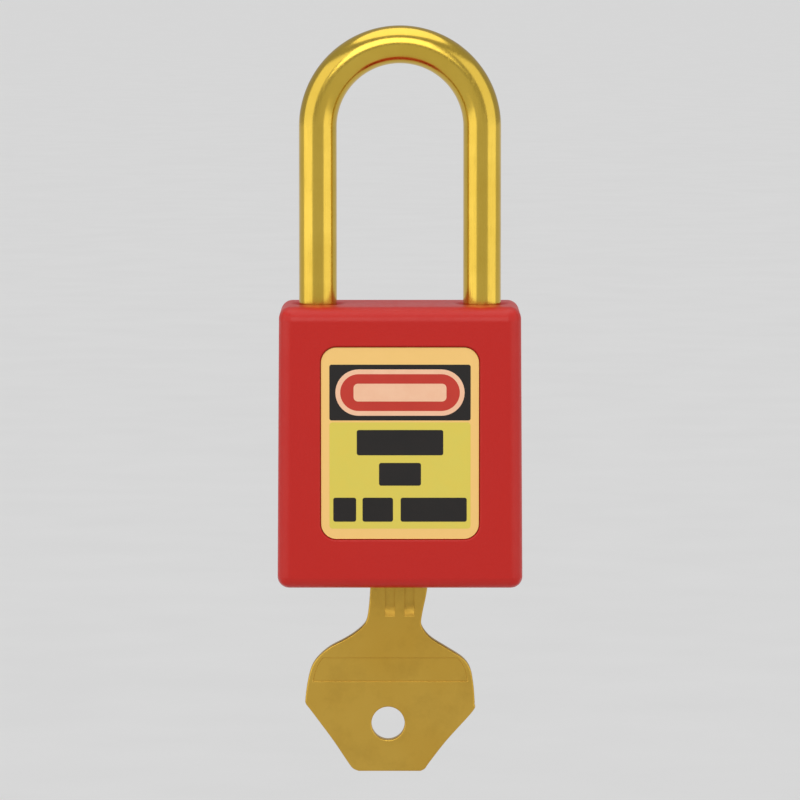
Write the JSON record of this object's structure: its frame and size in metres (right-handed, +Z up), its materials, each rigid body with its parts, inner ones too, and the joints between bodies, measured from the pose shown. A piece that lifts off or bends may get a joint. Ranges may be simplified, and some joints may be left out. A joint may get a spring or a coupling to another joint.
{
  "type": "safety padlock",
  "caption": "Lockout safety padlock: red moulded case with recessed label panels, round metal shackle locked at both legs, and a key in its bottom cylinder.",
  "frame": {"origin": "underside of the shackle's crown, midway between the legs, where the padlock hangs on a hasp or hook", "axes": "+Z up along the shackle's legs, away from the key; +X to the right seen from the front label, towards the toe leg; +Y to the back; the front label faces -Y"},
  "size_m": [0.0386, 0.02, 0.1189],
  "materials": {
    "case_plastic": "moulded thermoplastic, satin, fine moulded grain",
    "cover_plastic": "moulded, matt",
    "label_face": "printed polyester, semi-gloss",
    "shackle_metal": "hardened steel with polished gold-toned plating",
    "key_brass": "tumbled nickel-brass, satin",
    "plug_brass": "turned",
    "cylinder_brass": "turned and milled",
    "frame_metal": "die-cast",
    "pawl_steel": "sintered steel",
    "pin_steel": "ground",
    "spring_steel": "drawn wire"
  },
  "bodies": {
    "case": {"case_shell": "case_plastic", "bottom_cover": "cover_plastic", "cover_rivets": "pin_steel", "front_label": "label_face", "back_label": "label_face", "lock_frame": "frame_metal", "cylinder_housing": "cylinder_brass", "housing_pin": "pin_steel", "chamber_strip": "cylinder_brass", "heel_pin": "pin_steel", "shackle_spring": "spring_steel", "driver_spring_1": "spring_steel", "driver_spring_2": "spring_steel", "driver_spring_3": "spring_steel", "driver_spring_4": "spring_steel", "driver_spring_5": "spring_steel", "driver_spring_6": "spring_steel"},
    "shackle": {"shackle": "shackle_metal"},
    "plug": {"plug": "plug_brass", "plug_clip": "spring_steel", "scroll_cam": "frame_metal", "key_pin_1": "plug_brass", "key_pin_2": "plug_brass", "key_pin_3": "plug_brass", "key_pin_4": "plug_brass", "key_pin_5": "plug_brass", "key_pin_6": "plug_brass"},
    "toe_pawl": {"toe_pawl": "pawl_steel"},
    "heel_pawl": {"heel_pawl": "pawl_steel"},
    "key": {"key": "key_brass"},
    "driver_1": {"driver_pin_1": "pin_steel"},
    "driver_2": {"driver_pin_2": "pin_steel"},
    "driver_3": {"driver_pin_3": "pin_steel"},
    "driver_4": {"driver_pin_4": "pin_steel"},
    "driver_5": {"driver_pin_5": "pin_steel"},
    "driver_6": {"driver_pin_6": "pin_steel"}
  },
  "joints": [
    {"name": "key_turn", "type": "hinge", "parent": "case", "child": "plug", "pos_m": [0, 0, -0.08245], "axis": [0, 0, 1], "range_deg": [0, 90]},
    {"name": "shackle_lift", "type": "slide", "parent": "case", "child": "shackle", "axis": [0, 0, 1], "range_m": [0, 0.01], "deforming": ["shackle_spring"]},
    {"name": "toe_pawl_slide", "type": "slide", "parent": "case", "child": "toe_pawl", "axis": [-1, 0, 0], "range_m": [0, 0.0043]},
    {"name": "heel_pawl_slide", "type": "slide", "parent": "case", "child": "heel_pawl", "axis": [1, 0, 0], "range_m": [0, 0.0043]},
    {"name": "key_slide", "type": "slide", "parent": "plug", "child": "key", "axis": [0, 0, -1], "range_m": [0, 0.027]},
    {"name": "driver_1_slide", "type": "slide", "parent": "case", "child": "driver_1", "axis": [1, 0, 0], "range_m": [0, 0.0012], "stiffness_N_per_m": 60, "springref_m": -0.003, "deforming": ["driver_spring_1"]},
    {"name": "driver_2_slide", "type": "slide", "parent": "case", "child": "driver_2", "axis": [1, 0, 0], "range_m": [0, 0.0012], "stiffness_N_per_m": 60, "springref_m": -0.003, "deforming": ["driver_spring_2"]},
    {"name": "driver_3_slide", "type": "slide", "parent": "case", "child": "driver_3", "axis": [1, 0, 0], "range_m": [0, 0.0012], "stiffness_N_per_m": 60, "springref_m": -0.003, "deforming": ["driver_spring_3"]},
    {"name": "driver_4_slide", "type": "slide", "parent": "case", "child": "driver_4", "axis": [1, 0, 0], "range_m": [0, 0.0012], "stiffness_N_per_m": 60, "springref_m": -0.003, "deforming": ["driver_spring_4"]},
    {"name": "driver_5_slide", "type": "slide", "parent": "case", "child": "driver_5", "axis": [1, 0, 0], "range_m": [0, 0.0012], "stiffness_N_per_m": 60, "springref_m": -0.003, "deforming": ["driver_spring_5"]},
    {"name": "driver_6_slide", "type": "slide", "parent": "case", "child": "driver_6", "axis": [1, 0, 0], "range_m": [0, 0.0012], "stiffness_N_per_m": 60, "springref_m": -0.003, "deforming": ["driver_spring_6"]}
  ],
  "couplings": [
    {"joint": "key_turn", "follows": "shackle_lift", "rad_per_m": 157.07},
    {"joint": "toe_pawl_slide", "follows": "shackle_lift", "ratio": 0.4299},
    {"joint": "heel_pawl_slide", "follows": "shackle_lift", "ratio": 0.4299}
  ]
}
